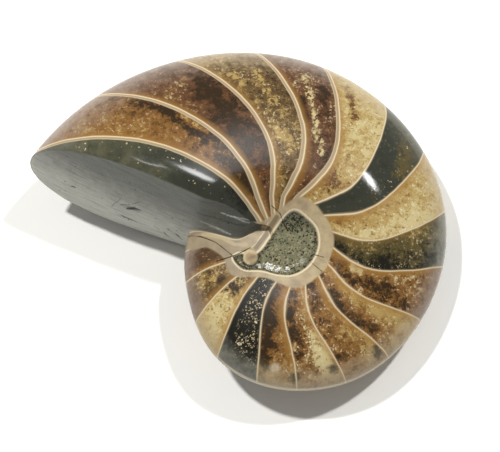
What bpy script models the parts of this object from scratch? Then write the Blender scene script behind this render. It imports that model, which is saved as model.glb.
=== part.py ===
"""Polished fossil nautilus lying on its flank.

One closed solid. The shell is a coil whose cross-section grows from the small inner end, 360 degrees
back, to the broken end at the tip. The section is swept along the coil as rows of points, and the
broken end joins the last row to the first one.

Shell frame: the coiling axis is +Z and the middle plane is z = 0. The angle phi is counted back
from the broken end, clockwise as seen from +Z. Row frame: metres, +Z up, the shell's longest extent
along X, and the origin under the middle of the box, on the surface that the fossil rests on.
"""
import math

import bmesh
import bpy
import numpy as np
from mathutils import Euler

MM = 0.001

# The coil, in mm and degrees: distance from the coiling axis to the rim, by angle back from the tip
WHORL_RADII = ((0, 73.5), (40, 64.2), (80, 57.4), (130, 48.4), (180, 39.4),
               (230, 35.4), (280, 32.2), (320, 27.4), (360, 26.6))
TIP_DIRECTION = 158.8       # where the tip lies, from +X towards +Y

# The whorl section, as fractions of the whorl radius
HALF_WIDTH = 0.23           # greatest half thickness
SHOULDER = 0.38             # distance from the axis at which the section is thickest
RIM_POWER = 2.2             # 2 is an ellipse from shoulder to rim, more is boxier
UMBILICUS_POWER = 1.3       # more holds the slope into the umbilicus closer to the shoulder
AXIS_HALF_WIDTH = 6.6       # half thickness at the coiling axis, in mm

# The broken end, in mm: how far its face runs ahead of the line from the axis to the tip
FACE_LEAD = 2.0             # at the middle plane, near the inner whorl
FACE_LEAD_RADIUS = 28.0     # distance from the axis beyond which the lead fades out to the tip
FACE_LEAN = 0.16            # forward per mm from the upper flank to the lower one
FACE_LEAN_GROWTH = 0.0041   # more lean per mm from the axis
FACE_LEAN_MOST = 0.30
FACE_CROWN = 0.015          # the face bulges: lost lead per square mm from the middle plane
FACE_DIP = 6.5              # the face falls back beside the umbilicus
FACE_DIP_RADIUS = 9.0
FACE_DIP_SPREAD = 2.85      # outwards from there
FACE_DIP_FADE = 4.0         # inwards from there, to the axis
FACE_AXIS_RADIUS = 4.0      # keeps the angle of the face finite at the axis
FACE_SETBACK = 1.2          # the face falls back at the tip
CORNER_RADIUS = 26.0        # the face lies back more and more from this distance inwards
CORNER_REACH = 12.0         # by 45 degrees more after this distance
CORNER_POWER = 1.3          # more starts it later
CORNER_FLOOR = 5.9          # only above this height over the middle plane
EDGE_ROUNDING = 0.07        # the flank rounds over to the face: lost half width, as a fraction
EDGE_REACH = 6.0            # over this many mm behind the face

# The filled umbilicus, in mm from the coiling axis, as seen from +Z
UMBILICUS_EDGE = ((-0.8, 9.7), (1.5, 10.9), (4.2, 9.5), (7.0, 6.4), (7.7, 2.6), (6.6, -0.7), (4.5, -3.3),
                  (1.1, -5.1), (-2.8, -5.1), (-6.9, -4.2), (-9.6, -3.0), (-10.4, -1.0), (-9.0, 0.9),
                  (-6.8, 2.8), (-3.6, 6.1))
UMBILICUS_DEPTH = 1.0
UMBILICUS_WALL = 2.2        # width of the slope at its edge

# How it lies: turned about X, then about Y, from the shell frame
LEAN_TO_VIEWER = 0.5
LEAN_TO_RIGHT = 6.4
WORN_DEPTH = 0.5            # the lowest spots of the lower flank are worn flat by this much, in mm

# Fineness of the faceted solid
ROW_ANGLES = (0.0, 1.5, 3.5, 6.0) + tuple(range(10, 361, 5))
RIM_STEPS = 10
INNER_STEPS = 18
FACE_ROWS = 4

STONE_COLOUR = (0.36, 0.20, 0.075, 1.0)
STONE_ROUGHNESS = 0.12


def clear_scene():
    """Remove every object, so the model starts empty."""
    for old in list(bpy.data.objects):
        bpy.data.objects.remove(old, do_unlink=True)


def smooth_step(x):
    """Ease from 0 to 1 as x goes from 0 to 1."""
    x = np.clip(x, 0.0, 1.0)
    return x * x * (3.0 - 2.0 * x)


def whorl_radius(phi):
    """Rim radius in mm at phi radians back from the tip, smooth through WHORL_RADII."""
    knots = np.radians([angle for angle, radius in WHORL_RADII])
    value = np.log([radius for angle, radius in WHORL_RADII])
    slope = np.gradient(value, knots)
    phi = np.asarray(phi, float)
    i = np.clip(np.searchsorted(knots, phi) - 1, 0, len(knots) - 2)
    span = knots[i + 1] - knots[i]
    t = np.clip((phi - knots[i]) / span, 0.0, 1.0)
    ease = t * t * (3.0 - 2.0 * t)
    log_radius = (value[i] * (1.0 - ease) + value[i + 1] * ease
                  + span * slope[i] * t * (1.0 - t) ** 2
                  - span * slope[i + 1] * t * t * (1.0 - t))
    log_radius += slope[0] * np.minimum(phi - knots[0], 0.0)
    log_radius += slope[-1] * np.maximum(phi - knots[-1], 0.0)
    return np.exp(log_radius)


def half_width(rho, radius):
    """Half thickness in mm at the fraction rho of the whorl radius."""
    out = np.clip((rho - SHOULDER) / (1.0 - SHOULDER), 0.0, 1.0)
    flank = HALF_WIDTH * radius * (1.0 - out ** RIM_POWER) ** (1.0 / RIM_POWER)
    rise = smooth_step(np.clip(rho / SHOULDER, 0.0, 1.0) ** UMBILICUS_POWER)
    slope = AXIS_HALF_WIDTH + (HALF_WIDTH * radius - AXIS_HALF_WIDTH) * rise
    return np.where(rho >= SHOULDER, flank, slope)


def face_lead(r, w):
    """Forward distance of the broken face in mm, at r from the axis and w above the middle plane."""
    tip_radius = WHORL_RADII[0][1]
    out = np.clip((r - FACE_LEAD_RADIUS) / (tip_radius - FACE_LEAD_RADIUS), 0.0, 1.0)
    lead = FACE_LEAD * (1.0 - out ** 2) - FACE_SETBACK * out ** 4
    spread = np.where(r > FACE_DIP_RADIUS, FACE_DIP_SPREAD, FACE_DIP_FADE)
    lead = lead - FACE_DIP * np.exp(-((r - FACE_DIP_RADIUS) / spread) ** 2)
    corner = np.clip((CORNER_RADIUS - r) / CORNER_REACH, 0.0, 1.0) ** CORNER_POWER
    corner = corner * smooth_step((r - FACE_DIP_RADIUS) / FACE_DIP_FADE)
    lead = lead - corner * np.maximum(np.abs(w) - CORNER_FLOOR, 0.0)
    lean = np.clip(FACE_LEAN + FACE_LEAN_GROWTH * (r - FACE_LEAD_RADIUS), 0.1, FACE_LEAN_MOST)
    return lead - lean * w - FACE_CROWN * w * w


def face_angle(r, w):
    """The face's lead as an angle about the axis, in radians."""
    return face_lead(r, w) / np.hypot(r, FACE_AXIS_RADIUS)


def section_columns():
    """Fractions of the whorl radius and signs, from the upper axis round the rim to the lower axis."""
    inner = [SHOULDER * i / INNER_STEPS for i in range(INNER_STEPS)]
    rim = []
    for i in range(RIM_STEPS + 1):
        around = 0.5 * math.pi * i / RIM_STEPS
        rim.append(SHOULDER + (1.0 - SHOULDER) * math.sin(around) ** (2.0 / RIM_POWER))
    upper = inner + rim
    rho = np.array(upper + upper[-2::-1])
    sign = np.array([1.0] * (len(upper) - 1) + [0.0] + [-1.0] * (len(upper) - 1))
    return rho, sign


def end_angles(rho, sign, turn, rounding):
    """Where each column of the flank meets the broken face, near phi = turn."""
    phi = np.full(len(rho), turn)
    for _ in range(30):
        radius = whorl_radius(phi)
        width = half_width(rho, radius) * (1.0 - rounding) * sign
        phi = 0.5 * phi + 0.5 * (turn - face_angle(rho * radius, width))
    return phi


def shell_rows():
    """Rows of points (r, phi, w) round the coil, then across the broken face back to the start."""
    rho, sign = section_columns()
    start = end_angles(rho, sign, 0.0, EDGE_ROUNDING)
    stop = end_angles(rho, sign, 2.0 * math.pi, 0.0)
    rows = []
    for angle in ROW_ANGLES:
        phi = start + (stop - start) * angle / 360.0
        radius = whorl_radius(phi)
        behind = rho * radius * (phi - start)
        rounding = EDGE_ROUNDING * np.clip(1.0 - behind / EDGE_REACH, 0.0, 1.0) ** 2
        width = half_width(rho, radius) * (1.0 - rounding * (angle < 180)) * sign
        rows.append(np.stack([rho * radius, phi, width], axis=1))
    first, last = rows[0], rows[-1]
    for k in range(1, FACE_ROWS):
        t = k / FACE_ROWS
        r = last[:, 0] * (1.0 - t) + first[:, 0] * t
        width = last[:, 2] * (1.0 - t) + first[:, 2] * t
        rows.append(np.stack([r, -face_angle(r, width), width], axis=1))
    return rows


def closed_curve(points, per_span=8):
    """Points along the smooth closed curve through the given ones."""
    p = np.array(points, float)
    before, after, beyond = np.roll(p, 1, 0), np.roll(p, -1, 0), np.roll(p, -2, 0)
    curve = []
    for i in range(len(p)):
        for step in range(per_span):
            t = step / per_span
            curve.append(0.5 * (2 * p[i] + (after[i] - before[i]) * t
                                + (2 * before[i] - 5 * p[i] + 4 * after[i] - beyond[i]) * t ** 2
                                + (3 * p[i] - before[i] - 3 * after[i] + beyond[i]) * t ** 3))
    return np.array(curve)


def depth_inside(x, y, curve):
    """Distance in mm inside the closed curve, negative outside."""
    a = curve
    b = np.roll(curve, -1, 0)
    px, py = x[:, None], y[:, None]
    edge = b - a
    t = ((px - a[:, 0]) * edge[:, 0] + (py - a[:, 1]) * edge[:, 1]) / (edge ** 2).sum(1)
    t = np.clip(t, 0.0, 1.0)
    gap = np.hypot(px - a[:, 0] - t * edge[:, 0], py - a[:, 1] - t * edge[:, 1]).min(1)
    crosses = (a[:, 1] > py) != (b[:, 1] > py)
    rise = np.where(edge[:, 1] == 0.0, 1.0, edge[:, 1])
    left = px < a[:, 0] + (py - a[:, 1]) * edge[:, 0] / rise
    inside = (crosses & left).sum(1) % 2 == 1
    return np.where(inside, gap, -gap)


def umbilicus_relief(x, y):
    """Height in mm added to a flank at x, y, where the filling of the umbilicus lies sunken."""
    inside = depth_inside(x, y, closed_curve(UMBILICUS_EDGE))
    return -UMBILICUS_DEPTH * smooth_step(0.5 + inside / UMBILICUS_WALL)


def shell_points(rows):
    """Points of the rows in the shell frame, in mm, with the umbilicus sunk into both flanks."""
    grid = np.array(rows)
    angle = math.radians(TIP_DIRECTION) - grid[..., 1]
    x = grid[..., 0] * np.cos(angle)
    y = grid[..., 0] * np.sin(angle)
    w = grid[..., 2]
    relief = umbilicus_relief(x.ravel(), y.ravel()).reshape(x.shape)
    return np.stack([x, y, w + relief * np.sign(w)], axis=-1)


def lay_down(points):
    """Turn the points to the resting pose, wear the lowest spots flat and set the origin."""
    turn = Euler((math.radians(LEAN_TO_VIEWER), math.radians(LEAN_TO_RIGHT), 0.0), "XYZ").to_matrix()
    laid = points @ np.array(turn).T
    laid[..., 2] -= laid[..., 2].min() + WORN_DEPTH
    laid[..., 2] = np.maximum(laid[..., 2], 0.0)
    low, high = laid.min(axis=(0, 1)), laid.max(axis=(0, 1))
    laid[..., :2] -= 0.5 * (low + high)[:2]
    return laid * MM


def build_mesh(name, grid):
    """One closed mesh from rows that each run from the upper axis to the lower one."""
    bm = bmesh.new()
    top = bm.verts.new(grid[:, 0].mean(axis=0))
    bottom = bm.verts.new(grid[:, -1].mean(axis=0))
    rings = [[bm.verts.new(point) for point in row[1:-1]] for row in grid]
    for i, here in enumerate(rings):
        ahead = rings[(i + 1) % len(rings)]
        bm.faces.new((top, here[0], ahead[0]))
        bm.faces.new((bottom, ahead[-1], here[-1]))
        for j in range(len(here) - 1):
            bm.faces.new((here[j], here[j + 1], ahead[j + 1], ahead[j]))
    bmesh.ops.triangulate(bm, faces=bm.faces[:])
    bmesh.ops.recalc_face_normals(bm, faces=bm.faces[:])
    mesh = bpy.data.meshes.new(name)
    bm.to_mesh(mesh)
    bm.free()
    mesh.shade_smooth()
    return mesh


def stone_material():
    """Warm brown polished stone."""
    material = bpy.data.materials.new("polished_fossil")
    material.use_nodes = True
    shader = material.node_tree.nodes["Principled BSDF"]
    shader.inputs["Base Color"].default_value = STONE_COLOUR
    shader.inputs["Roughness"].default_value = STONE_ROUGHNESS
    shader.inputs["Metallic"].default_value = 0.0
    material.diffuse_color = STONE_COLOUR
    return material


def main():
    clear_scene()
    collection = bpy.data.collections.new("polished_nautilus")
    bpy.context.scene.collection.children.link(collection)
    grid = lay_down(shell_points(shell_rows()))
    mesh = build_mesh("nautilus_fossil", grid)
    mesh.materials.append(stone_material())
    fossil = bpy.data.objects.new("nautilus_fossil", mesh)
    collection.objects.link(fossil)


main()
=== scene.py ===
"""Looks of the polished fossil nautilus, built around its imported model.

The shell surface is made again from the same formulas as the solid, only finer, with the low relief
of the filled umbilicus and of the broken face. Lengths of the shape are in mm until the last step.
"""

import math

import bpy
import numpy as np
from mathutils import Euler, Matrix, Vector, noise


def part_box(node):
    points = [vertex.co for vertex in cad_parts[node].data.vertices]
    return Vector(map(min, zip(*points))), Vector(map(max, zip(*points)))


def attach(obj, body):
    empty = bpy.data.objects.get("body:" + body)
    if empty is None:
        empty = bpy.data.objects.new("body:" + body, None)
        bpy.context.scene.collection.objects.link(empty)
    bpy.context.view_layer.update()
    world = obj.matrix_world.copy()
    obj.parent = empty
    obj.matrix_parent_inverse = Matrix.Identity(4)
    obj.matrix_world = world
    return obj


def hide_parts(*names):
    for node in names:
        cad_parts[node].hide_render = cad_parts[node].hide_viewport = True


MM = 0.001

# The coil, in mm and degrees: distance from the coiling axis to the rim, by angle back from the tip
WHORL_RADII = ((0, 73.5), (40, 64.2), (80, 57.4), (130, 48.4), (180, 39.4),
               (230, 35.4), (280, 32.2), (320, 27.4), (360, 26.6))
TIP_DIRECTION = 158.8

# The whorl section, as fractions of the whorl radius
HALF_WIDTH = 0.23
SHOULDER = 0.38
RIM_POWER = 2.2
UMBILICUS_POWER = 1.3
AXIS_HALF_WIDTH = 6.6

# The broken end, in mm
FACE_LEAD = 2.0
FACE_LEAD_RADIUS = 28.0
FACE_LEAN = 0.16
FACE_LEAN_GROWTH = 0.0041
FACE_LEAN_MOST = 0.30
FACE_CROWN = 0.015
FACE_DIP = 6.5
FACE_DIP_RADIUS = 9.0
FACE_DIP_SPREAD = 2.85
FACE_DIP_FADE = 4.0
FACE_AXIS_RADIUS = 4.0
FACE_SETBACK = 1.2
CORNER_RADIUS = 26.0
CORNER_REACH = 12.0
CORNER_POWER = 1.3
CORNER_FLOOR = 5.9
EDGE_ROUNDING = 0.07
EDGE_REACH = 6.0

# Low relief of the broken face, in mm, and its pits: distance from the axis, height over the middle
# plane, depth, and half size along both
FACE_WAVES = 0.22
FACE_GRAIN = 0.05
FACE_PITS = ((60.1, -1.7, 0.4, 1.2, 1.0), (43.0, 1.0, 0.7, 2.4, 0.9), (44.5, -5.2, 0.35, 3.0, 0.6),
             (33.5, -6.0, 0.4, 3.0, 0.8), (30.0, -3.8, 0.4, 2.4, 0.7))

# How it lies: its lean in degrees, and how much is worn off at the lowest spots, in mm
LEAN_TO_VIEWER = 0.5
LEAN_TO_RIGHT = 6.4
WORN_DEPTH = 0.5

# Fineness of the shown surface
FLANK_ROWS = 400
FACE_ROWS = 40
RIM_STEPS = 44
INNER_STEPS = 38
SETTLING_ROUNDS = 30        # to find where the flank meets the broken face
SHARE_SAMPLES = 721         # along the rim, to space the rows evenly

# Septa, front to back: angle back from the tip at which each meets the rim
SEPTUM_RIM = (2, 20, 41, 61, 80, 100, 119, 140, 160, 183, 203, 224, 245, 263, 284, 304, 326, 344)

# How many degrees further back a septum runs at these fractions of the whorl radius, by its angle at
# the rim. It sweeps back from the rim, and from about 60 to 245 degrees its inner end turns
# forwards again.
SWEEP_STATIONS = (1.0, 0.8, 0.6, 0.4, 0.25)
SWEEPS = ((0, (0, 9, 17, 24, 28)), (60, (0, 8, 15, 16, 5)), (110, (0, 6, 10, 8, -11)),
          (160, (0, 5, 9, 6, -12)), (190, (0, 2, 5, 2, -12)), (245, (0, 2, 6, 9, 2)),
          (295, (0, 5, 11, 19, 26)), (345, (0, 3, 5, 6, 6)))
END_CHAMBER = 22            # angle that the chambers before the first and after the last septum span
LEAST_CHAMBER = 3.0         # angle that each chamber spans at least
SEPTUM_INNER_END = 0.15     # innermost fraction of the whorl radius at which the septa still turn

# The filled umbilicus and the callus round it, in mm from the coiling axis, as seen from +Z
MATRIX_EDGE = ((-0.5, 10.3), (1.8, 11.5), (4.4, 10.0), (7.2, 6.9), (7.8, 3.0), (6.7, -0.4),
               (4.6, -3.1), (1.2, -5.0), (-2.8, -5.0), (-6.9, -3.9), (-11.3, -3.6), (-13.3, -2.2),
               (-14.2, -0.4), (-12.4, 0.6), (-10.0, -0.2), (-7.1, 1.3), (-3.4, 6.5))
CALLUS_EDGE = ((-1.9, 12.2), (2.7, 14.8), (6.7, 13.3), (9.8, 9.9), (11.6, 6.0), (11.9, 2.6),
               (10.4, -2.6), (8.6, -5.0), (5.4, -7.6), (1.5, -8.9), (-1.8, -8.1), (-4.9, -6.6),
               (-8.5, -5.9), (-14.2, -5.5), (-15.8, -3.8), (-16.8, -0.6), (-18.5, 1.0),
               (-21.9, 2.7), (-25.7, 2.5), (-29.5, 8.0), (-22.4, 9.0), (-14.6, 8.5), (-8.0, 8.5),
               (-5.4, 9.6))
MATRIX_REACH = 22.0         # from the axis, beyond which no filling is looked for
CALLUS_REACH = 34.0
FAR_OUTSIDE = -10.0         # depth given to what lies beyond these reaches
MATRIX_LEVEL = 7.0          # height over the middle plane at the axis
MATRIX_RISE = (0.09, 0.13)  # per mm along x and y
MATRIX_DEPTH = 1.0
MATRIX_WALL = 1.2
MATRIX_DISH = 0.2           # rise towards its edge, per mm, within the reach below
MATRIX_DISH_REACH = 2.8
MATRIX_WAVES = 0.10
MATRIX_GRAIN = 0.03
PLUG_CENTRE = (-9.8, -0.3)
PLUG_RADIUS = 2.0
PLUG_HEIGHT = 0.7

# Cracks, and streaks of other shell on the callus with their half width, colour and strength
CRACKS = (((-27.1, 7.1), (-22.4, 5.6), (-19.0, 3.9), (-17.2, 2.4), (-14.4, -0.1), (-12.6, -2.2),
           (-10.6, -3.2)),
          ((-18.6, -1.4), (-14.4, -0.1), (-11.6, 1.2), (-9.8, 2.2)),
          ((-4.5, 12.6), (-2.1, 10.8), (-0.9, 8.4), (0.1, 6.7)),
          ((6.8, 0.2), (9.2, -0.7)), ((6.2, -2.1), (8.6, -4.5)))
LINES = ((((-3.0, 9.9), (-5.8, 5.6), (-8.4, 2.2)), 0.60, "clay", 0.75),
         (((-5.2, 8.6), (-6.8, 5.6), (-8.6, 3.0), (-11.3, 1.0), (-13.6, 0.2)), 0.08, "bone", 0.9),
         (((-22.0, 6.3), (-17.5, 5.2), (-14.0, 3.2), (-11.0, 3.0)), 0.5, "sand", 0.7))

# The camera: its place in mm, the direction of its aim, its roll in degrees, lens and sensor in mm
CAMERA_PLACE = (6.38, -127.87, 395.27)
CAMERA_AIM = (-0.00895, 0.31226, -0.94995)
CAMERA_ROLL = -2.69
CAMERA_LENS = 108.0
SENSOR_WIDTH = 36.0

# Lamps: name, direction with a height of 1, power, size along X and Y in metres, and whether it
# lights the surfaces or only shows in their gloss
LAMPS = (("lamp_right", (0.48, 0.45, 1.0), 13.5, 0.09, 0.09, True),
         ("lamp_left", (-0.46, 0.36, 1.0), 16.2, 0.09, 0.09, True),
         ("gloss_right", (0.66, 0.39, 1.0), 0.5, 0.045, 0.11, False),
         ("gloss_back", (0.22, 0.46, 1.0), 2.8, 0.26, 0.22, False),
         ("gloss_tip", (-0.11, 0.28, 1.0), 0.4, 0.20, 0.08, False))
LAMP_HEIGHT = 1.2

# The room's brightness at the horizon and overhead, and the sine of the elevation at which it gets
# down to the latter
ROOM_LOW = 0.60
ROOM_OVERHEAD = 0.18
ROOM_RISE = 0.85

# The floor, in metres
FLOOR_HALF_SIDE = 3.0
FLOOR_COLOUR = (0.92, 0.91, 0.87, 1.0)
FLOOR_ROUGHNESS = 0.6

# The polish. Dark stone is the smoothest; calcite and callus add to that. The rear chambers, the first
# one and the broken face have at least the roughness given here.
STONE_IOR = 1.5
STONE_ROUGHNESS = 0.06
CALCITE_ADDS = 0.18
REAR_ROUGHNESS = 0.36
FIRST_ROUGHNESS = 0.14
FILLING_ROUGHNESS = 0.10
PLUG_ROUGHNESS = 0.35
BROKEN_ROUGHNESS = 0.42
BUMP_DISTANCE = 0.0002      # in metres
# The pale line on the keel is a painted highlight along the lower outline of the shell
PAINTED_GLINT_CHAMBERS = (8.8, 15.0)           # chamber numbers between which the keel has a pale line
BROKEN_COLOURS_FROM = (-6.6, -7.2)    # place along x, in mm, over which the broken face's begin

# Bands along each septum: from and to in mm behind its middle, and how soft their edges are. Up to
# the chamber number WIDE_UNTIL a tan band with a second line lies before the bright one.
TAN_BAND = (-1.05, 0.0, 0.22)
SECOND_LINE = (-1.02, -0.84, 0.10)
NARROW_BAND = (-0.38, 0.34, 0.20)
BRIGHT_LINE = (-0.15, 0.15, 0.12)
WIDE_UNTIL = 5.5


def smooth_step(x):
    """Ease from 0 to 1 as x goes from 0 to 1."""
    x = np.clip(x, 0.0, 1.0)
    return x * x * (3.0 - 2.0 * x)


def whorl_radius(phi):
    """Rim radius in mm at phi radians back from the tip, smooth through WHORL_RADII."""
    knots = np.radians([angle for angle, radius in WHORL_RADII])
    value = np.log([radius for angle, radius in WHORL_RADII])
    slope = np.gradient(value, knots)
    phi = np.asarray(phi, float)
    i = np.clip(np.searchsorted(knots, phi) - 1, 0, len(knots) - 2)
    span = knots[i + 1] - knots[i]
    t = np.clip((phi - knots[i]) / span, 0.0, 1.0)
    ease = t * t * (3.0 - 2.0 * t)
    log_radius = (value[i] * (1.0 - ease) + value[i + 1] * ease
                  + span * slope[i] * t * (1.0 - t) ** 2
                  - span * slope[i + 1] * t * t * (1.0 - t))
    log_radius += slope[0] * np.minimum(phi - knots[0], 0.0)
    log_radius += slope[-1] * np.maximum(phi - knots[-1], 0.0)
    return np.exp(log_radius)


def half_width(rho, radius):
    """Half thickness in mm at the fraction rho of the whorl radius."""
    out = np.clip((rho - SHOULDER) / (1.0 - SHOULDER), 0.0, 1.0)
    flank = HALF_WIDTH * radius * (1.0 - out ** RIM_POWER) ** (1.0 / RIM_POWER)
    rise = smooth_step(np.clip(rho / SHOULDER, 0.0, 1.0) ** UMBILICUS_POWER)
    slope = AXIS_HALF_WIDTH + (HALF_WIDTH * radius - AXIS_HALF_WIDTH) * rise
    return np.where(rho >= SHOULDER, flank, slope)


def face_lead(r, w):
    """Forward distance of the broken face in mm, at r from the axis and w above the middle plane."""
    tip_radius = WHORL_RADII[0][1]
    out = np.clip((r - FACE_LEAD_RADIUS) / (tip_radius - FACE_LEAD_RADIUS), 0.0, 1.0)
    lead = FACE_LEAD * (1.0 - out ** 2) - FACE_SETBACK * out ** 4
    spread = np.where(r > FACE_DIP_RADIUS, FACE_DIP_SPREAD, FACE_DIP_FADE)
    lead = lead - FACE_DIP * np.exp(-((r - FACE_DIP_RADIUS) / spread) ** 2)
    corner = np.clip((CORNER_RADIUS - r) / CORNER_REACH, 0.0, 1.0) ** CORNER_POWER
    corner = corner * smooth_step((r - FACE_DIP_RADIUS) / FACE_DIP_FADE)
    lead = lead - corner * np.maximum(np.abs(w) - CORNER_FLOOR, 0.0)
    lean = np.clip(FACE_LEAN + FACE_LEAN_GROWTH * (r - FACE_LEAD_RADIUS), 0.1, FACE_LEAN_MOST)
    return lead - lean * w - FACE_CROWN * w * w


def face_angle(r, w):
    """The face's lead as an angle about the axis, in radians."""
    return face_lead(r, w) / np.hypot(r, FACE_AXIS_RADIUS)


def section_columns():
    """Fractions of the whorl radius and signs, from the upper axis round the rim to the lower axis."""
    inner = [SHOULDER * i / INNER_STEPS for i in range(INNER_STEPS)]
    rim = []
    for i in range(RIM_STEPS + 1):
        around = 0.5 * math.pi * i / RIM_STEPS
        rim.append(SHOULDER + (1.0 - SHOULDER) * math.sin(around) ** (2.0 / RIM_POWER))
    upper = inner + rim
    rho = np.array(upper + upper[-2::-1])
    sign = np.array([1.0] * (len(upper) - 1) + [0.0] + [-1.0] * (len(upper) - 1))
    return rho, sign


def end_angles(rho, sign, turn, rounding):
    """Where each column of the flank meets the broken face, near phi = turn."""
    phi = np.full(len(rho), turn)
    for _ in range(SETTLING_ROUNDS):
        radius = whorl_radius(phi)
        width = half_width(rho, radius) * (1.0 - rounding) * sign
        phi = 0.5 * phi + 0.5 * (turn - face_angle(rho * radius, width))
    return phi


def row_shares():
    """Shares of the turn at which the rows lie, evenly spaced along the rim."""
    share = np.linspace(0.0, 1.0, SHARE_SAMPLES)
    reach = np.concatenate([[0.0], np.cumsum(whorl_radius(2.0 * math.pi * share[:-1]))])
    return np.interp(np.linspace(0.0, reach[-1], FLANK_ROWS), reach, share)


def rough(points, size, octaves):
    """Fractal noise between about -1 and 1 at each point, with bumps about size mm across."""
    value = [noise.fractal(Vector(p) / size, 0.9, 2.1, octaves) for p in points.reshape(-1, 3)]
    return np.array(value).reshape(points.shape[:-1])


def face_relief(r, width, share):
    """Low relief of the broken face in mm, fading out at its two edges."""
    spots = np.stack([r, width, np.zeros_like(r)], axis=-1)
    relief = FACE_WAVES * rough(spots * (1.0, 2.2, 1.0), 9.0, 3) + FACE_GRAIN * rough(spots, 1.6, 3)
    for near, across, depth, spread, tall in FACE_PITS:
        relief -= depth * np.exp(-((r - near) / spread) ** 2 - ((width - across) / tall) ** 2)
    return relief * np.clip(8.0 * share * (1.0 - share), 0.0, 1.0)


def shell_rows():
    """Rows round the coil and back across the broken face: r, phi, w and distance behind the edge."""
    rho, sign = section_columns()
    start = end_angles(rho, sign, 0.0, EDGE_ROUNDING)
    stop = end_angles(rho, sign, 2.0 * math.pi, 0.0)
    rows = []
    for share in row_shares():
        phi = start + (stop - start) * share
        radius = whorl_radius(phi)
        behind = rho * radius * (phi - start)
        ahead = rho * radius * (stop - phi)
        rounding = EDGE_ROUNDING * np.clip(1.0 - behind / EDGE_REACH, 0.0, 1.0) ** 2
        width = half_width(rho, radius) * (1.0 - rounding * (share < 0.5)) * sign
        rows.append(np.stack([rho * radius, phi, width, np.minimum(behind, ahead)], axis=1))
    first, last = rows[0], rows[-1]
    for k in range(1, FACE_ROWS):
        t = k / FACE_ROWS
        r = last[:, 0] * (1.0 - t) + first[:, 0] * t
        width = last[:, 2] * (1.0 - t) + first[:, 2] * t
        lead = face_lead(r, width) + face_relief(r, width, t)
        span = np.hypot(first[:, 0] - last[:, 0], first[:, 2] - last[:, 2])
        rows.append(np.stack([r, -lead / np.hypot(r, FACE_AXIS_RADIUS), width,
                              -span * min(t, 1.0 - t)], axis=1))
    return np.array(rows)


def closed_curve(points, per_span=8):
    """Points along the smooth closed curve through the given ones."""
    p = np.array(points, float)
    before, after, beyond = np.roll(p, 1, 0), np.roll(p, -1, 0), np.roll(p, -2, 0)
    curve = []
    for i in range(len(p)):
        for step in range(per_span):
            t = step / per_span
            curve.append(0.5 * (2 * p[i] + (after[i] - before[i]) * t
                                + (2 * before[i] - 5 * p[i] + 4 * after[i] - beyond[i]) * t ** 2
                                + (3 * p[i] - before[i] - 3 * after[i] + beyond[i]) * t ** 3))
    return np.array(curve)


def depth_inside(x, y, curve):
    """Distance in mm inside the closed curve, negative outside."""
    a = curve
    b = np.roll(curve, -1, 0)
    px, py = x[:, None], y[:, None]
    edge = b - a
    t = ((px - a[:, 0]) * edge[:, 0] + (py - a[:, 1]) * edge[:, 1]) / (edge ** 2).sum(1)
    t = np.clip(t, 0.0, 1.0)
    gap = np.hypot(px - a[:, 0] - t * edge[:, 0], py - a[:, 1] - t * edge[:, 1]).min(1)
    crosses = (a[:, 1] > py) != (b[:, 1] > py)
    rise = np.where(edge[:, 1] == 0.0, 1.0, edge[:, 1])
    left = px < a[:, 0] + (py - a[:, 1]) * edge[:, 0] / rise
    inside = (crosses & left).sum(1) % 2 == 1
    return np.where(inside, gap, -gap)


def far_depth(x, y, points, reach):
    """Depth inside the curve through the points within reach of the axis, FAR_OUTSIDE beyond."""
    depth = np.full(x.shape, FAR_OUTSIDE)
    near = np.hypot(x, y) < reach
    depth[near] = depth_inside(x[near], y[near], closed_curve(points))
    return np.maximum(depth, FAR_OUTSIDE)


def monotone_steps(position, knots):
    """Smooth rising count of the knots passed at each position, and its slope."""
    step = np.diff(knots)
    secant = 1.0 / step
    slope = np.concatenate([[secant[0]], 2.0 / (step[1:] + step[:-1]), [secant[-1]]])
    i = np.clip(np.searchsorted(knots, position) - 1, 0, len(step) - 1)
    t = np.clip((position - knots[i]) / step[i], 0.0, 1.0)
    h = step[i]
    value = (i + t * t * (3.0 - 2.0 * t) + h * slope[i] * t * (1.0 - t) ** 2
             - h * slope[i + 1] * t * t * (1.0 - t))
    rate = (6.0 * t * (1.0 - t) / h + slope[i] * (1.0 - t) * (1.0 - 3.0 * t)
            - slope[i + 1] * t * (2.0 - 3.0 * t))
    return value, np.maximum(rate, 0.2 / h)


def septum_angles(rho):
    """Angles of all septa at the fraction rho of the whorl radius, with one more at each end."""
    turns = [turn for turn, sweep in SWEEPS]
    through = [np.interp(SEPTUM_RIM, turns, [sweep[k] for turn, sweep in SWEEPS]) + SEPTUM_RIM
               for k in range(len(SWEEP_STATIONS))]
    power = np.arange(len(SWEEP_STATIONS) - 1, -1, -1)
    curve = np.polyfit(SWEEP_STATIONS, through, len(SWEEP_STATIONS) - 1)
    at = max(rho, SWEEP_STATIONS[-1])
    angles = (at ** power) @ curve
    slopes = (power * at ** np.maximum(power - 1, 0)) @ curve
    angles += 0.5 * slopes * (max(rho, SEPTUM_INNER_END) - at)
    return np.concatenate([[angles[0] - END_CHAMBER], angles, [angles[-1] + END_CHAMBER]])


def chamber_field(grid, rho):
    """Chamber number with its fraction, and mm per chamber, at every point of the grid."""
    number = np.zeros(grid.shape[:2])
    size = np.ones(grid.shape[:2])
    for j, fraction in enumerate(rho):
        knots = septum_angles(fraction)
        for k in range(1, len(knots)):
            knots[k] = max(knots[k], knots[k - 1] + LEAST_CHAMBER)
        number[:, j], rate = monotone_steps(np.degrees(grid[:, j, 1]), knots)
        size[:, j] = grid[:, j, 0] * math.radians(1.0) / rate
    reach = np.hypot(np.gradient(grid[..., 0], axis=1), np.gradient(grid[..., 2], axis=1))
    lag = np.gradient(number, axis=1) / np.maximum(reach, 0.05)
    skew = np.hypot(1.0, np.clip(lag * size, -2.5, 2.5))
    return number, size / skew


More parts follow.
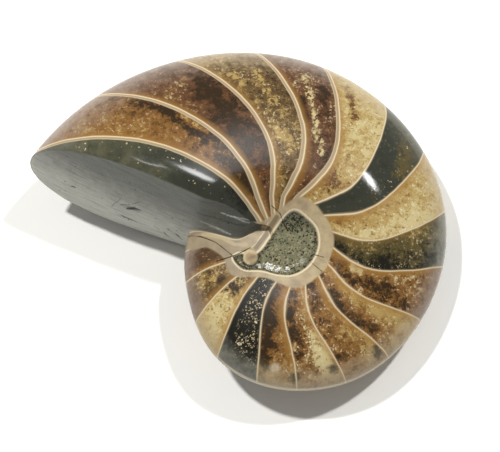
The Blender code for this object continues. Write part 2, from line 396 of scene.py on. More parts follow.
def sculpt(x, y, w):
    """Sink the filling of the umbilicus into both flanks, rough, with its round plug."""
    matrix = far_depth(x, y, MATRIX_EDGE, MATRIX_REACH)
    inside = smooth_step(0.35 + matrix / MATRIX_WALL)
    near = inside > 0.0
    spots = np.stack([x[near], y[near], np.zeros(near.sum())], axis=-1)
    level = MATRIX_LEVEL + MATRIX_RISE[0] * spots[:, 0] + MATRIX_RISE[1] * spots[:, 1] - MATRIX_DEPTH
    level += MATRIX_DISH * np.clip(MATRIX_DISH_REACH - matrix[near], 0.0, MATRIX_DISH_REACH)
    level += MATRIX_WAVES * rough(spots, 3.0, 2) + MATRIX_GRAIN * rough(spots, 0.8, 3)
    shaped = w.copy()
    shaped[near] = w[near] * (1.0 - inside[near]) + np.sign(w[near]) * level * inside[near]
    away = np.hypot(x - PLUG_CENTRE[0], y - PLUG_CENTRE[1]) / PLUG_RADIUS
    dome = PLUG_HEIGHT * np.clip(1.15 - away ** 4, 0.0, 1.0)
    return shaped + np.sign(w) * dome * (away < 1.1), matrix


def lay_down(points):
    """Turn the points to the resting pose, wear the lowest spots flat and centre them on the box."""
    turn = Euler((math.radians(LEAN_TO_VIEWER), math.radians(LEAN_TO_RIGHT), 0.0), "XYZ").to_matrix()
    laid = points @ np.array(turn).T
    laid[..., 2] -= laid[..., 2].min() + WORN_DEPTH
    laid *= MM
    low, high = laid.min(axis=(0, 1)), laid.max(axis=(0, 1))
    box_low, box_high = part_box("nautilus_fossil")
    for k in (0, 1):
        laid[..., k] += 0.5 * (box_low[k] + box_high[k]) - 0.5 * (low[k] + high[k])
    return np.clip(laid, np.array(box_low), np.array(box_high))


def build_shell():
    """The fine shell mesh with its attributes, as an object."""
    rho, sign = section_columns()
    grid = shell_rows()
    angle = math.radians(TIP_DIRECTION) - grid[..., 1]
    x = grid[..., 0] * np.cos(angle)
    y = grid[..., 0] * np.sin(angle)
    number, size = chamber_field(grid[:FLANK_ROWS], rho)
    number = np.concatenate([number, np.zeros((FACE_ROWS - 1, len(rho)))])
    size = np.concatenate([size, np.full((FACE_ROWS - 1, len(rho)), 10.0)])
    w, matrix = sculpt(x, y, grid[..., 2])
    callus = far_depth(x, y, CALLUS_EDGE, CALLUS_REACH)
    plain = np.stack([x, y, grid[..., 2]], axis=-1)
    laid = lay_down(np.stack([x, y, w], axis=-1))

    def flatten(values):
        """One value for each pole, then all the others row by row."""
        return np.concatenate([values[:, :1].mean(axis=0), values[:, -1:].mean(axis=0),
                               values[:, 1:-1].reshape((-1,) + values.shape[2:])])

    rows, across = grid.shape[0], grid.shape[1] - 2
    faces = []
    for i in range(rows):
        here = 2 + i * across
        ahead = 2 + ((i + 1) % rows) * across
        faces.append((0, ahead, here))
        faces.append((1, here + across - 1, ahead + across - 1))
        for j in range(across - 1):
            faces.append((here + j, ahead + j, ahead + j + 1, here + j + 1))
    mesh = bpy.data.meshes.new("nautilus_shell")
    mesh.from_pydata(flatten(laid).tolist(), [], faces)
    values = {"chamber": number, "chamber_size": size, "edge": grid[..., 3], "matrix": matrix,
              "callus": callus, "out": np.broadcast_to(rho, number.shape)}
    for name, value in values.items():
        layer = mesh.attributes.new(name, "FLOAT", "POINT")
        layer.data.foreach_set("value", flatten(value[..., None]).ravel().astype(np.float32))
    layer = mesh.attributes.new("place", "FLOAT_VECTOR", "POINT")
    layer.data.foreach_set("vector", flatten(plain).ravel().astype(np.float32))
    mesh.validate()
    mesh.shade_smooth()
    shell = bpy.data.objects.new("nautilus_shell", mesh)
    bpy.context.scene.collection.objects.link(shell)
    return shell


# A surface's own colour as a share of the colour that it shows in full light
TONE = 0.65


def linear(text):
    """Linear surface colour from six hexadecimal digits of the colour in full light."""
    parts = [int(text[i:i + 2], 16) / 255.0 for i in (0, 2, 4)]
    light = [((c + 0.055) / 1.055) ** 2.4 if c > 0.04045 else c / 12.92 for c in parts]
    return tuple(TONE * c for c in light) + (1.0,)


PALETTE = {name: linear(text) for name, text in (
    ("slate", "3a3c31"), ("sage", "65634c"), ("black", "1d1c13"), ("amber", "895f2d"),
    ("honey", "a77a36"), ("gold", "b89a5b"), ("straw", "d6c48e"), ("umber", "35250f"),
    ("coffee", "553b22"), ("rust", "6c472a"), ("olive", "5e522e"), ("mud", "6a5230"),
    ("tan", "bba582"), ("sand", "c8b48c"), ("mauve", "a08d7c"), ("cream", "d9c499"),
    ("ivory", "f3deb4"), ("bone", "efe0bd"), ("taupe", "7d7261"), ("moss", "75745a"),
    ("ash", "d0d0c4"), ("graphite", "7c7d74"), ("lichen", "8c8a6c"), ("steel", "8d8b7c"),
    ("clay", "7a6a50"))}

# Each chamber from the broken end back: its dark, middle and bright colour and the colour of the
# painted reflection along its rim, then how light it is along its front and rear septum, how much
# darker towards the umbilicus, how grainy it is, how many pale grains and painted glints it has
# and how much it glows beside its septa, from 0 to 1
CHAMBERS = (
    ("black", "slate", "sage", "graphite", 0.95, 0.80, 0.50, 0.15, 0.0, 0.0),
    ("umber", "amber", "gold", "mauve", 0.52, 0.28, 0.28, 0.55, 0.4, 1.0),
    ("umber", "rust", "gold", "mauve", 0.50, 0.26, 0.12, 0.55, 0.4, 1.0),
    ("umber", "mud", "gold", "tan", 0.58, 0.38, 0.00, 0.75, 0.7, 1.0),
    ("umber", "rust", "straw", "mauve", 0.42, 0.30, 0.00, 0.60, 0.5, 1.0),
    ("rust", "gold", "straw", "sand", 0.58, 0.80, 0.35, 0.70, 0.9, 1.0),
    ("black", "slate", "olive", "sage", 0.45, 0.60, 0.00, 0.15, 0.1, 0.0),
    ("amber", "gold", "straw", "sand", 0.54, 0.90, 0.25, 0.70, 0.9, 1.0),
    ("black", "olive", "gold", "steel", 0.48, 0.12, 0.00, 0.60, 0.5, 0.3),
    ("umber", "amber", "straw", "mauve", 0.46, 0.36, 0.00, 0.75, 0.6, 1.0),
    ("umber", "amber", "gold", "sand", 0.90, 0.36, 0.15, 0.70, 0.6, 1.0),
    ("umber", "amber", "gold", "tan", 0.74, 0.40, 0.20, 0.75, 0.8, 1.0),
    ("umber", "amber", "straw", "tan", 0.80, 0.36, 0.25, 0.80, 0.8, 1.0),
    ("umber", "amber", "gold", "sand", 0.60, 0.24, 0.15, 0.70, 0.6, 1.0),
    ("black", "black", "slate", "steel", 0.40, 0.40, 0.00, 0.10, 0.0, 0.0),
    ("umber", "gold", "straw", "sand", 0.70, 0.68, 0.40, 0.80, 0.9, 1.0),
    ("umber", "mud", "gold", "mauve", 0.55, 0.62, 0.05, 0.75, 0.6, 1.0),
    ("umber", "coffee", "mud", "mauve", 0.50, 0.45, 0.00, 0.60, 0.4, 1.0),
    ("umber", "coffee", "mauve", "mauve", 0.55, 0.80, 0.00, 0.50, 0.2, 1.0))

# Streaks: places in mm as seen from +Z, half width in mm and how much lighter they are, or darker
# where it is below 0
STREAKS = ((((5.7, 49.5), (7.2, 37.7), (8.6, 26.9)), 0.9, 0.50),
           (((4.4, 42.1), (5.0, 36.6)), 1.1, -0.45), (((9.9, 45.8), (10.3, 39.4)), 1.3, -0.40),
           (((-37.8, 40.2), (-31.2, 36.8), (-22.2, 28.8)), 0.9, -0.50),
           (((-28.1, 35.6), (-21.6, 31.5)), 0.5, 0.60), (((-17.0, 21.8), (-11.7, 12.0)), 1.6, -0.30),
           (((-23.2, 45.8), (-16.7, 39.5), (-9.9, 23.6)), 2.6, -0.35),
           (((-7.7, 50.6), (-6.4, 47.9)), 0.9, 0.60), (((-5.0, 44.0), (-3.8, 41.6)), 0.9, 0.60),
           (((-14.7, 49.3), (-12.4, 46.7)), 0.8, 0.45), (((-3.3, 32.6), (0.9, 28.4)), 1.2, 0.45),
           (((17.2, 47.6), (18.8, 37.8)), 0.9, -0.50), (((18.5, 33.5), (14.2, 22.2)), 1.4, 0.25),
           (((32.2, 29.8), (30.2, 22.0)), 1.6, 0.40),
           (((13.3, -3.0), (17.1, -7.0), (29.1, -11.7)), 1.5, -0.30),
           (((16.4, -3.6), (18.5, -4.9)), 0.7, 0.80),
           (((12.3, -11.8), (16.1, -16.2), (20.9, -19.3)), 1.4, -0.30),
           (((5.9, -9.6), (9.0, -17.5)), 1.2, -0.30),
           (((1.4, -10.9), (1.0, -16.3), (2.5, -24.0)), 1.2, -0.30),
           (((7.2, -25.2), (9.0, -27.1)), 0.9, 0.45),
           (((-4.5, -9.5), (-5.7, -17.5), (-7.1, -30.0)), 1.5, -0.40),
           (((-16.6, -7.9), (-14.0, -10.7)), 1.4, -0.60),
           (((-19.2, -14.4), (-18.9, -19.5)), 1.1, 0.35))

# Sprays of bright grains: chamber, from and to across it, from and to out from the axis, density
SPRAYS = ((14, 0.06, 0.72, 0.27, 0.90, 0.75), (8, 0.80, 0.97, 0.40, 0.74, 0.50),
          (6, 0.50, 0.95, 0.50, 0.95, 0.10), (0, 0.30, 0.98, 0.30, 0.95, 0.06))

# Smudges: place in mm as seen from +Z, radius in mm, colour and strength
SMUDGES = ((23.2, -25.1, 1.9, "slate", 0.8), (11.2, -29.7, 1.7, "slate", 0.8),
           (1.4, -32.0, 1.8, "slate", 0.8), (-3.8, -29.6, 1.6, "bone", 0.5))

# Marks of the broken face: places as distance from the axis and height over the middle plane in mm,
# half width in mm, colour and strength
MARKS = ((((60.5, -1.8), (59.7, -1.5)), 0.30, "black", 0.7),
         (((46.3, 0.6), (42.4, 2.3)), 0.16, "black", 0.8),
         (((44.4, -0.1), (40.9, 1.3)), 0.26, "black", 0.9),
         (((43.4, 3.0), (41.4, 5.2)), 0.10, "slate", 0.6),
         (((47.4, -4.3), (44.9, -5.8), (41.3, -5.7)), 0.12, "black", 0.7),
         (((48.6, -2.2), (48.1, 0.2), (46.7, 2.9)), 0.10, "slate", 0.5),
         (((36.3, -3.3), (34.4, -5.2), (30.8, -9.2)), 0.18, "slate", 0.7),
         (((32.5, -1.7), (29.2, -4.7), (28.2, -6.2)), 0.20, "slate", 0.8),
         (((31.8, 1.1), (29.9, -0.2), (28.2, -1.5)), 0.25, "ash", 0.7),
         (((26.5, 10.1), (13.6, 8.5)), 0.08, "black", 0.5),
         (((24.6, 7.4), (16.0, 6.5)), 0.08, "ash", 0.6),
         (((22.1, 6.8), (17.0, 6.5)), 0.05, "ash", 0.5),
         (((20.5, 11.0), (13.1, 9.1)), 0.07, "ash", 0.6),
         (((18.9, 10.5), (13.4, 9.7)), 0.05, "ash", 0.6))


class Shading:
    """Short calls for the nodes of one material."""

    def __init__(self, name):
        self.material = bpy.data.materials.new(name)
        self.material.use_nodes = True
        self.nodes = self.material.node_tree.nodes
        self.links = self.material.node_tree.links
        self.shader = self.nodes["Principled BSDF"]

    def feed(self, socket, value):
        """Link a socket or set a plain value."""
        if isinstance(value, bpy.types.NodeSocket):
            self.links.new(value, socket)
        else:
            socket.default_value = value

    def attribute(self, name, output="Fac"):
        """A value that is stored on the mesh."""
        node = self.nodes.new("ShaderNodeAttribute")
        node.attribute_name = name
        return node.outputs[output]

    def calc(self, operation, *values):
        """One step of arithmetic on sockets or plain values."""
        node = self.nodes.new("ShaderNodeMath")
        node.operation = operation
        for socket, value in zip(node.inputs, values):
            self.feed(socket, value)
        return node.outputs[0]

    def vector(self, operation, *values, output="Vector", scale=1.0):
        """One step of arithmetic on vectors."""
        node = self.nodes.new("ShaderNodeVectorMath")
        node.operation = operation
        if operation == "SCALE":
            self.feed(node.inputs["Scale"], scale)
        for socket, value in zip(node.inputs, values):
            self.feed(socket, value)
        return node.outputs[output]

    def fade(self, value, low, high, start=0.0, end=1.0):
        """From start to end, smoothly, as value goes from low to high."""
        node = self.nodes.new("ShaderNodeMapRange")
        node.interpolation_type = "SMOOTHSTEP"
        for name, number in (("Value", value), ("From Min", low), ("From Max", high),
                             ("To Min", start), ("To Max", end)):
            self.feed(node.inputs[name], number)
        return node.outputs[0]

    def noise(self, place, scale, detail=3.0, roughness=0.55, distortion=0.0, output="Fac"):
        """Fractal noise at a place, about 0.5 on average."""
        node = self.nodes.new("ShaderNodeTexNoise")
        self.feed(node.inputs["Vector"], place)
        for name, number in (("Scale", scale), ("Detail", detail), ("Roughness", roughness),
                             ("Distortion", distortion)):
            node.inputs[name].default_value = number
        return node.outputs[output]

    def cells(self, place, scale, output="Distance"):
        """Distance from the middle of the nearest of many irregular cells, or its colour."""
        node = self.nodes.new("ShaderNodeTexVoronoi")
        self.feed(node.inputs["Vector"], place)
        node.inputs["Scale"].default_value = scale
        return node.outputs[output]

    def draw(self, place, scale):
        """A random value from 0 to 1 for each cell."""
        return self.vector("DOT_PRODUCT", self.cells(place, scale, "Color"), (1.0, 0.0, 0.0),
                           output="Value")

    def parts(self, vector):
        """The three components of a vector."""
        node = self.nodes.new("ShaderNodeSeparateXYZ")
        self.feed(node.inputs[0], vector)
        return node.outputs[0], node.outputs[1], node.outputs[2]

    def mix(self, share, a, b):
        """The colour between a and b, at share of the way."""
        node = self.nodes.new("ShaderNodeMix")
        node.data_type = "RGBA"
        for socket, value in ((node.inputs[0], share), (node.inputs[6], a), (node.inputs[7], b)):
            self.feed(socket, value)
        return node.outputs[2]

    def steps(self, position, colours):
        """One flat colour for each whole step of position."""
        node = self.nodes.new("ShaderNodeValToRGB")
        ramp = node.color_ramp
        ramp.interpolation = "CONSTANT"
        while len(ramp.elements) < len(colours):
            ramp.elements.new(0.5)
        for k, colour in enumerate(colours):
            ramp.elements[k].position = k / len(colours)
        for k, colour in enumerate(colours):
            ramp.elements[k].color = colour
        self.feed(node.inputs[0], self.calc("DIVIDE", position, float(len(colours))))
        return node.outputs["Color"]


def dashes(s, place, points):
    """Distance in mm from the chain of straight pieces through the points."""
    nearest = None
    for (ax, ay), (bx, by) in zip(points, points[1:]):
        along = (bx - ax, by - ay, 0.0)
        reach = s.vector("SUBTRACT", place, (ax, ay, 0.0))
        share = s.calc("DIVIDE", s.vector("DOT_PRODUCT", reach, along, output="Value"),
                       along[0] ** 2 + along[1] ** 2)
        share = s.calc("MINIMUM", s.calc("MAXIMUM", share, 0.0), 1.0)
        nearest_point = s.vector("SCALE", along, scale=share)
        gap = s.vector("DISTANCE", reach, nearest_point, output="Value")
        nearest = gap if nearest is None else s.calc("MINIMUM", nearest, gap)
    return nearest


def within(s, value, low, high, soft):
    """1 where value is between low and high, fading out over soft on both sides."""
    return s.calc("MULTIPLY", s.fade(value, low - soft, low + soft),
                  s.fade(value, high + soft, high - soft))


def chamber_colours(s, place, flat, number, gap, out):
    """Crystalline calcite and dark stone, chamber by chamber, and where it is calcite."""
    index = s.calc("ADD", s.calc("FLOOR", number), 0.5)
    across = s.calc("FRACT", number)

    def named(column):
        return s.steps(index, [PALETTE[chamber[column]] for chamber in CHAMBERS])

    def numbers(column):
        return s.parts(s.steps(index, [chamber[column:column + 3] + (1.0,) for chamber in CHAMBERS]))

    front, rear, inner = numbers(4)
    grain, glitter, glow = numbers(7)

    broad = s.noise(place, 0.10, 3.0, 0.6, 0.5)
    middle = s.noise(place, 0.40, 6.0, 0.68, 0.3)
    fine = s.noise(place, 1.8, 3.0, 0.7)
    bent = s.vector("SCALE", s.noise(place, 0.8, 3.0, output="Color"), scale=1.6)
    bent = s.vector("ADD", bent, place)
    large = s.draw(bent, 1.0)
    small = s.draw(bent, 2.3)

    light = s.calc("MULTIPLY_ADD", s.calc("SUBTRACT", rear, front), s.fade(across, 0.2, 0.9), front)
    light = s.calc("SUBTRACT", light, s.calc("MULTIPLY", inner, s.fade(out, 0.70, 0.36)))
    light = s.calc("MULTIPLY_ADD", s.calc("SUBTRACT", broad, 0.5), 0.9, light)
    uneven = s.calc("MULTIPLY_ADD", large, 1.3, 0.25)
    for points, width, change in STREAKS:
        away = s.calc("MULTIPLY_ADD", middle, 5.0 * width, dashes(s, flat, points))
        streak = s.fade(away, 4.6 * width, 2.6 * width, 0.0, change)
        light = s.calc("MULTIPLY_ADD", streak, uneven, light)
    rough_part = s.calc("MULTIPLY_ADD", middle, 2.1, s.calc("MULTIPLY_ADD", large, 0.42, -1.26))
    rough_part = s.calc("ADD", rough_part, s.calc("MULTIPLY_ADD", small, 0.40, -0.20))
    rough_part = s.calc("ADD", rough_part, s.calc("MULTIPLY_ADD", fine, 0.9, -0.45))
    behind = s.calc("MULTIPLY", s.fade(gap, -0.1, 0.1), s.fade(gap, 2.2, 0.3))
    lively = s.calc("MULTIPLY", grain, s.calc("MULTIPLY_ADD", behind, -0.65, 1.0))
    light = s.calc("MULTIPLY_ADD", rough_part, lively, light)

    colour = s.mix(s.fade(light, 0.0, 0.5), named(0), named(1))
    colour = s.mix(s.fade(light, 0.5, 1.0), colour, named(2))
    # Bone-coloured crystals: partly real pale grains, partly painted glints on the crystals
    pale_grains_and_glints = s.calc("MULTIPLY", s.fade(small, 0.88, 0.92), s.fade(large, 0.35, 0.45))
    pale_grains_and_glints = s.calc("MULTIPLY", pale_grains_and_glints, s.fade(light, 0.25, 0.6))
    pale_grains_and_glints = s.calc("MULTIPLY", pale_grains_and_glints, s.fade(broad, 0.42, 0.56, 0.25, 1.0))
    pale_grains_and_glints = s.calc("MULTIPLY", pale_grains_and_glints, s.calc("MULTIPLY", glitter, 0.75))
    colour = s.mix(pale_grains_and_glints, colour, PALETTE["bone"])
    dark = s.calc("MULTIPLY", s.fade(small, 0.12, 0.06), s.fade(large, 0.6, 0.5))
    colour = s.mix(s.calc("MULTIPLY", dark, s.calc("MULTIPLY", grain, 0.6)), colour, PALETTE["umber"])

    halo = s.calc("MULTIPLY", s.calc("MULTIPLY", behind, glow), 0.6)
    colour = s.mix(halo, colour, PALETTE["honey"])

    # Painted reflection of the bright room: towards the outer rim the colour turns to the mottled rim
    # colour
    rim = s.fade(s.calc("MULTIPLY_ADD", middle, 0.16, out), 0.90, 1.07)
    rim = s.calc("MULTIPLY", rim, s.fade(middle, 0.30, 0.60, 0.62, 0.88))
    painted_rim_reflection = s.mix(s.fade(s.noise(place, 0.9, 4.0, 0.7), 0.40, 0.75, 0.0, 0.35), named(3), named(1))
    colour = s.mix(rim, colour, painted_rim_reflection)

    speck_gap = s.cells(bent, 2.0)
    speck_draw = s.draw(bent, 2.0)
    for chamber, start, end, low, high, density in SPRAYS:
        zone = within(s, number, chamber + start, chamber + end, 0.12)
        zone = s.calc("MULTIPLY", zone, within(s, out, low, high, 0.08))
        zone = s.calc("MULTIPLY", zone, s.fade(middle, 0.40, 0.56))
        zone = s.calc("MULTIPLY", zone, s.fade(speck_draw, 1.0 - density, 1.02 - density))
        speck = s.calc("MULTIPLY", zone, s.fade(speck_gap, 0.46, 0.30))
        colour = s.mix(speck, colour, s.mix(small, PALETTE["gold"], PALETTE["bone"]))

    for x, y, radius, name, strength in SMUDGES:
        away = s.vector("DISTANCE", flat, (x, y, 0.0), output="Value")
        away = s.calc("MULTIPLY_ADD", middle, 2.4 * radius, away)
        smudge = s.calc("MULTIPLY", s.fade(away, 2.4 * radius, 1.5 * radius), strength)
        colour = s.mix(smudge, colour, PALETTE[name])
    return colour, glow


def septum_lines(s, number, gap, colour):
    """A thin bright line at each septum, with a tan band before it on the wide chambers."""
    present = s.fade(number, 0.55, 0.65)
    wide = s.calc("MULTIPLY", s.fade(number, WIDE_UNTIL + 0.1, WIDE_UNTIL - 0.1), present)
    band = s.calc("MULTIPLY", within(s, gap, *TAN_BAND), wide)
    colour = s.mix(s.calc("MULTIPLY", band, 0.85), colour, PALETTE["tan"])
    second = s.calc("MULTIPLY", within(s, gap, *SECOND_LINE), wide)
    colour = s.mix(s.calc("MULTIPLY", second, 0.5), colour, PALETTE["ivory"])
    narrow = s.calc("MULTIPLY", within(s, gap, *NARROW_BAND), present)
    narrow = s.calc("MULTIPLY", narrow, s.fade(number, 5.6, 8.0, 0.65, 0.40))
    colour = s.mix(narrow, colour, PALETTE["tan"])
    line = s.calc("MULTIPLY", within(s, gap, *BRIGHT_LINE), present)
    line = s.calc("MULTIPLY", line, s.fade(number, 5.6, 8.0, 1.0, 0.75))
    return s.mix(line, colour, PALETTE["ivory"])


def callus_colours(s, flat, soft, middle, matrix):
    """Smooth tan callus with its streaks and the pale line round the filling."""
    x = s.parts(flat)[0]
    colour = s.mix(s.fade(soft, 0.3, 0.7), PALETTE["sand"], PALETTE["tan"])
    colour = s.mix(s.fade(middle, 0.35, 0.75, 0.0, 0.45), colour, PALETTE["taupe"])
    colour = s.mix(s.fade(x, -5.0, -15.0, 0.0, 0.40), colour, PALETTE["taupe"])
    colour = s.mix(within(s, matrix, -0.62, -0.18, 0.14), colour, PALETTE["bone"])
    for points, width, name, strength in LINES:
        away = s.calc("MULTIPLY_ADD", middle, 0.5, dashes(s, flat, points))
        line = s.calc("MULTIPLY", s.fade(away, width + 0.38, width + 0.10), strength)
        colour = s.mix(line, colour, PALETTE[name])
    return colour


def filling_colours(s, place, flat, middle, matrix, plug_gap):
    """Grey-green filling with pale and black grains; painted shade of its sunken edge makes it blackest
    at its upper end and its toe, and it is darker round the plug.
    """
    y = s.parts(flat)[1]
    grains = s.draw(place, 2.7)
    # Greyer, with more black grains, round the plug and at the upper end and along the edge, where this
    # is painted shade of the sunken filling's walls
    dark = s.calc("MAXIMUM", s.fade(y, 5.0, 9.0), s.fade(matrix, 1.5, 0.4, 0.0, 0.7))
    dark = s.calc("MAXIMUM", dark, s.fade(plug_gap, PLUG_RADIUS + 1.6, PLUG_RADIUS + 0.2))
    patches = s.noise(place, 0.7, 4.0, 0.7)
    colour = s.mix(s.fade(patches, 0.35, 0.65), PALETTE["moss"], PALETTE["lichen"])
    colour = s.mix(s.fade(grains, 0.80, 0.84, 0.0, 0.4), colour, PALETTE["sand"])
    colour = s.mix(s.calc("MULTIPLY", dark, 0.55), colour, PALETTE["slate"])
    edge = s.calc("MULTIPLY_ADD", dark, 0.26, s.calc("MULTIPLY_ADD", middle, 0.5, -0.12))
    black = s.fade(s.calc("SUBTRACT", grains, edge), 0.03, -0.03)
    return s.mix(s.calc("MULTIPLY", black, 0.85), colour, PALETTE["black"])


def face_colours(s, place, flat, middle, fine):
    """Grey stone of the broken face, with painted shade dark by its ridge and lighter low down, darker
    at its inner end, and with its marks.
    """
    across = s.parts(place)[2]
    out = s.vector("LENGTH", flat, output="Value")
    both = s.nodes.new("ShaderNodeCombineXYZ")
    s.feed(both.inputs[0], out)
    s.feed(both.inputs[1], across)
    spot = both.outputs[0]
    # Painted shade: the face is darker up by the ridge and lighter low down towards the floor
    painted_shade_height = s.calc("MULTIPLY_ADD", middle, 6.0, s.calc("SUBTRACT", across, 3.0))
    colour = s.mix(s.fade(painted_shade_height, 11.0, -4.0), PALETTE["graphite"], PALETTE["ash"])
    colour = s.mix(s.fade(out, 30.0, 13.0, 0.0, 0.70), colour, PALETTE["slate"])
    grooves = s.noise(s.vector("MULTIPLY", spot, (0.12, 1.5, 0.0)), 1.0, 4.0, 0.7)
    colour = s.mix(s.fade(grooves, 0.42, 0.70, 0.0, 0.35), colour, PALETTE["slate"])
    colour = s.mix(s.fade(fine, 0.66, 0.76, 0.0, 0.5), colour, PALETTE["slate"])
    dots = s.fade(s.draw(place, 0.7), 0.86, 0.88)
    dots = s.calc("MULTIPLY", dots, s.fade(s.cells(place, 0.7), 0.20, 0.12))
    colour = s.mix(s.calc("MULTIPLY", dots, 0.8), colour, PALETTE["black"])
    for points, width, name, strength in MARKS:
        away = s.calc("MULTIPLY_ADD", fine, 0.5, dashes(s, spot, points))
        mark = s.calc("MULTIPLY", s.fade(away, width + 0.42, width + 0.16), strength)
        colour = s.mix(mark, colour, PALETTE[name])
    return colour


def fossil_material():
    """Polished calcite chambers between cream septa, callus, umbilical filling and grey stone."""
    s = Shading("polished_fossil")
    place = s.attribute("place", "Vector")
    out = s.attribute("out")
    edge = s.attribute("edge")
    matrix = s.attribute("matrix")
    size = s.attribute("chamber_size")
    flat = s.vector("MULTIPLY", place, (1.0, 1.0, 0.0))
    soft = s.noise(place, 0.16, 2.0, 0.5)
    middle = s.noise(place, 0.45, 4.0, 0.6)
    fine = s.noise(place, 1.6, 4.0, 0.7)

    wander = s.calc("DIVIDE", s.calc("MULTIPLY_ADD", soft, 0.5, -0.25), size)
    number = s.calc("ADD", s.attribute("chamber"), wander)
    gap = s.calc("SUBTRACT", s.calc("FRACT", s.calc("ADD", number, 0.5)), 0.5)
    gap = s.calc("MULTIPLY", gap, size)
    colour, calcite = chamber_colours(s, place, flat, number, gap, out)
    colour = septum_lines(s, number, gap, colour)
    # Painted highlight: a thin pale line on the keel where the rim forms the lower outline
    painted_glint = s.calc("MULTIPLY", s.fade(out, 0.990, 0.996), within(s, number, *PAINTED_GLINT_CHAMBERS, 0.4))
    colour = s.mix(s.calc("MULTIPLY", painted_glint, 0.6), colour, PALETTE["bone"])

    ring = s.fade(s.calc("MULTIPLY_ADD", soft, 0.8, s.attribute("callus")), 0.1, 0.8)
    colour = s.mix(ring, colour, callus_colours(s, flat, soft, middle, matrix))
    lip = s.calc("MULTIPLY", within(s, edge, 0.05, 0.40, 0.15), s.fade(number, 17.6, 17.9))
    colour = s.mix(s.calc("MULTIPLY", lip, 0.7), colour, PALETTE["bone"])

    plug_gap = s.vector("DISTANCE", flat, (PLUG_CENTRE[0], PLUG_CENTRE[1], 0.0), output="Value")
    plug = s.fade(plug_gap, PLUG_RADIUS + 0.1, PLUG_RADIUS - 0.3)
    filled = s.fade(s.calc("MULTIPLY_ADD", fine, 0.7, matrix), 0.2, 0.6)
    colour = s.mix(filled, colour, filling_colours(s, place, flat, middle, matrix, plug_gap))
    colour = s.mix(plug, colour, s.mix(s.fade(plug_gap, 0.9, 1.6), PALETTE["tan"], PALETTE["cream"]))

    crack = None
    for points in CRACKS:
        away = dashes(s, flat, points)
        crack = away if crack is None else s.calc("MINIMUM", crack, away)
    crack = s.fade(s.calc("MULTIPLY_ADD", middle, 0.5, crack), 0.45, 0.22)
    colour = s.mix(s.calc("MULTIPLY", crack, 0.85), colour, PALETTE["umber"])

    left = s.fade(s.parts(place)[0], *BROKEN_COLOURS_FROM)
    broken = s.calc("MULTIPLY", s.fade(edge, 0.35, -1.0), left)
    colour = s.mix(broken, colour, face_colours(s, place, flat, middle, fine))

    loose = s.calc("MULTIPLY", filled, s.calc("SUBTRACT", 1.0, plug))
    sheen = s.calc("MULTIPLY_ADD", s.calc("MAXIMUM", ring, calcite), CALCITE_ADDS, STONE_ROUGHNESS)
    sheen = s.calc("MAXIMUM", sheen, s.fade(number, 9.5, 10.5, 0.0, REAR_ROUGHNESS))
    sheen = s.calc("MAXIMUM", sheen, s.fade(number, 1.1, 0.9, 0.0, FIRST_ROUGHNESS))
    sheen = s.fade(filled, 0.0, 1.0, sheen, FILLING_ROUGHNESS)
    sheen = s.fade(plug, 0.0, 1.0, sheen, PLUG_ROUGHNESS)
    sheen = s.calc("MAXIMUM", sheen, s.calc("MULTIPLY", broken, BROKEN_ROUGHNESS))
    s.feed(s.shader.inputs["Base Color"], colour)
    s.feed(s.shader.inputs["Roughness"], sheen)
    s.shader.inputs["IOR"].default_value = STONE_IOR
    bump = s.nodes.new("ShaderNodeBump")
    bump.inputs["Distance"].default_value = BUMP_DISTANCE
    uneven = s.calc("MULTIPLY_ADD", broken, 0.8, s.fade(loose, 0.0, 1.0, 0.02, 0.08))
    height = s.calc("MULTIPLY", fine, uneven)
    height = s.calc("SUBTRACT", height, s.calc("MULTIPLY", crack, 1.2))
    s.feed(bump.inputs["Height"], height)
    s.feed(bump.inputs["Strength"], 1.0)
    s.links.new(bump.outputs["Normal"], s.shader.inputs["Normal"])
    return s.material


def make_floor():
    """The pale surface that the fossil lies on."""
    side = FLOOR_HALF_SIDE
    mesh = bpy.data.meshes.new("floor")
    mesh.from_pydata([(-side, -side, 0), (side, -side, 0), (side, side, 0), (-side, side, 0)], [],
                     [(0, 1, 2, 3)])
    floor = bpy.data.objects.new("floor", mesh)
    bpy.context.scene.collection.objects.link(floor)
    s = Shading("pale_floor")
    s.shader.inputs["Base Color"].default_value = FLOOR_COLOUR
    s.shader.inputs["Roughness"].default_value = FLOOR_ROUGHNESS
    mesh.materials.append(s.material)


def make_camera():
    """The camera at the picture's viewing angle."""
    camera = bpy.data.objects.new("camera", bpy.data.cameras.new("camera"))
    bpy.context.scene.collection.objects.link(camera)
    aim = Vector(CAMERA_AIM).normalized()
    turn = aim.to_track_quat("-Z", "Y").to_matrix() @ Matrix.Rotation(math.radians(CAMERA_ROLL), 3, "Z")
    camera.matrix_world = Matrix.Translation(Vector(CAMERA_PLACE) * MM) @ turn.to_4x4()
    camera.data.lens = CAMERA_LENS
    camera.data.sensor_width = SENSOR_WIDTH
    camera.data.clip_start = 0.01
    camera.data.clip_end = 20.0
    bpy.context.scene.camera = camera


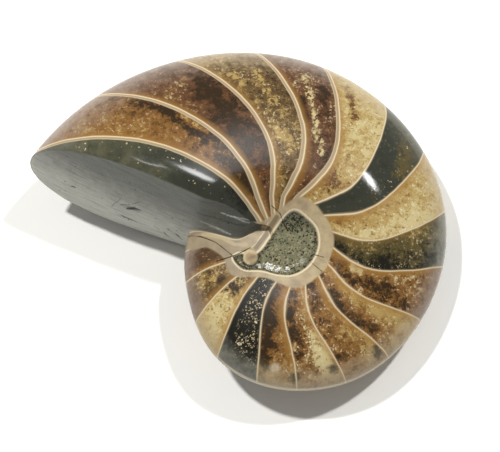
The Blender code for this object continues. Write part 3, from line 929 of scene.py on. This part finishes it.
def make_lights():
    """Two lamps behind the fossil, others for its highlights and a bright room."""
    for name, place, power, width, depth, lights_surfaces in LAMPS:
        lamp = bpy.data.lights.new(name, "AREA")
        lamp.energy = power
        lamp.shape = "ELLIPSE"
        lamp.size = width
        lamp.size_y = depth
        light = bpy.data.objects.new(name, lamp)
        light.location = Vector(place) * LAMP_HEIGHT
        behind = Vector(place).normalized()
        side = Vector((0.0, 1.0, 0.0)).cross(behind).normalized()
        light.rotation_euler = Matrix((side, behind.cross(side), behind)).transposed().to_euler()
        light.visible_glossy = not lights_surfaces
        light.visible_diffuse = lights_surfaces
        bpy.context.scene.collection.objects.link(light)
    world = bpy.data.worlds.new("room")
    bpy.context.scene.world = world
    world.use_nodes = True
    tree = world.node_tree
    direction = tree.nodes.new("ShaderNodeTexCoord").outputs["Generated"]
    split = tree.nodes.new("ShaderNodeSeparateXYZ")
    tree.links.new(direction, split.inputs[0])
    ramp = tree.nodes.new("ShaderNodeMapRange")
    tree.links.new(split.outputs["Z"], ramp.inputs["Value"])
    ramp.inputs["From Min"].default_value = 0.0
    ramp.inputs["From Max"].default_value = ROOM_RISE
    ramp.inputs["To Min"].default_value = ROOM_LOW
    ramp.inputs["To Max"].default_value = ROOM_OVERHEAD
    tree.links.new(ramp.outputs[0], tree.nodes["Background"].inputs["Strength"])
    tree.nodes["Background"].inputs["Color"].default_value = (1.0, 1.0, 1.0, 1.0)
    bpy.context.scene.view_settings.view_transform = "Standard"


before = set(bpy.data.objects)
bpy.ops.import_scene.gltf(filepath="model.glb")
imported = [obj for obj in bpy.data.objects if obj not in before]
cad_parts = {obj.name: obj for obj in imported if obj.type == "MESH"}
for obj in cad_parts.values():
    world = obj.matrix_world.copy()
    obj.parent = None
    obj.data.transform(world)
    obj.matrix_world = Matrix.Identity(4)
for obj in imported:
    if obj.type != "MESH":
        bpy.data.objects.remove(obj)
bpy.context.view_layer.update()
make_camera()
make_lights()
make_floor()
shell = build_shell()
shell.data.materials.append(fossil_material())
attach(shell, "root")
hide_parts("nautilus_fossil")
